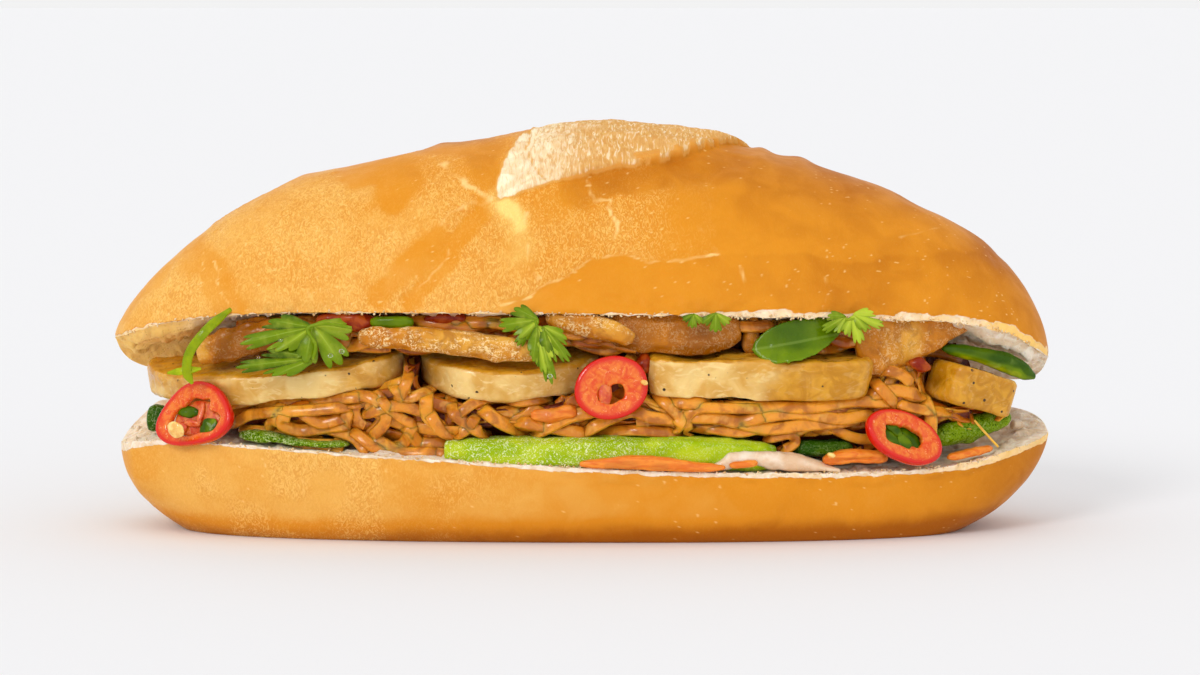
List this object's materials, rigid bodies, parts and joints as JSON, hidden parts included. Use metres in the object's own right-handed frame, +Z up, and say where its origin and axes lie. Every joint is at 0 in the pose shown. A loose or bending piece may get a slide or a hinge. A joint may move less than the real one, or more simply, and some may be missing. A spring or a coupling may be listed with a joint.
{
  "type": "banh mi sandwich",
  "caption": "Filled banh mi: a crusty split wheat roll, hinged at the back, with ham, fried tofu, noodles, cucumber, carrot, chilli and herbs.",
  "frame": {"origin": "middle of the box of the whole sandwich, on the surface it rests on", "axes": "+X along the roll, -Y out of the open side that shows the filling, +Z up"},
  "size_m": [0.22, 0.0854, 0.0952],
  "materials": {
    "bread_crust": "baked crust, satin",
    "glass_noodle": "oiled, half clear",
    "vegetarian_ham": "moist, peppered",
    "fried_tofu": "fried, oily",
    "cucumber": "wet",
    "carrot": "moist",
    "red_chilli": "waxy gloss",
    "green_leaf": "leaf, half gloss",
    "onion": "wet, half clear"
  },
  "bodies": {
    "root": {"bread": "bread_crust", "noodle_heap": "glass_noodle", "ham_slice_1": "vegetarian_ham", "ham_slice_2": "vegetarian_ham", "ham_slice_3": "vegetarian_ham", "ham_slice_4": "vegetarian_ham", "fried_tofu_1": "fried_tofu", "fried_tofu_2": "fried_tofu", "fried_tofu_3": "fried_tofu", "fried_tofu_4": "fried_tofu", "fried_tofu_5": "fried_tofu", "fried_tofu_6": "fried_tofu", "cucumber_1": "cucumber", "cucumber_2": "cucumber", "cucumber_3": "cucumber", "cucumber_4": "cucumber", "cucumber_5": "cucumber", "carrot_1": "carrot", "carrot_2": "carrot", "carrot_3": "carrot", "carrot_4": "carrot", "carrot_5": "carrot", "chilli_ring_1": "red_chilli", "chilli_ring_2": "red_chilli", "chilli_ring_3": "red_chilli", "green_leaf": "green_leaf", "rolled_leaf": "green_leaf", "spring_onion": "green_leaf", "green_pod": "green_leaf", "onion_strip": "onion"}
  },
  "joints": []
}
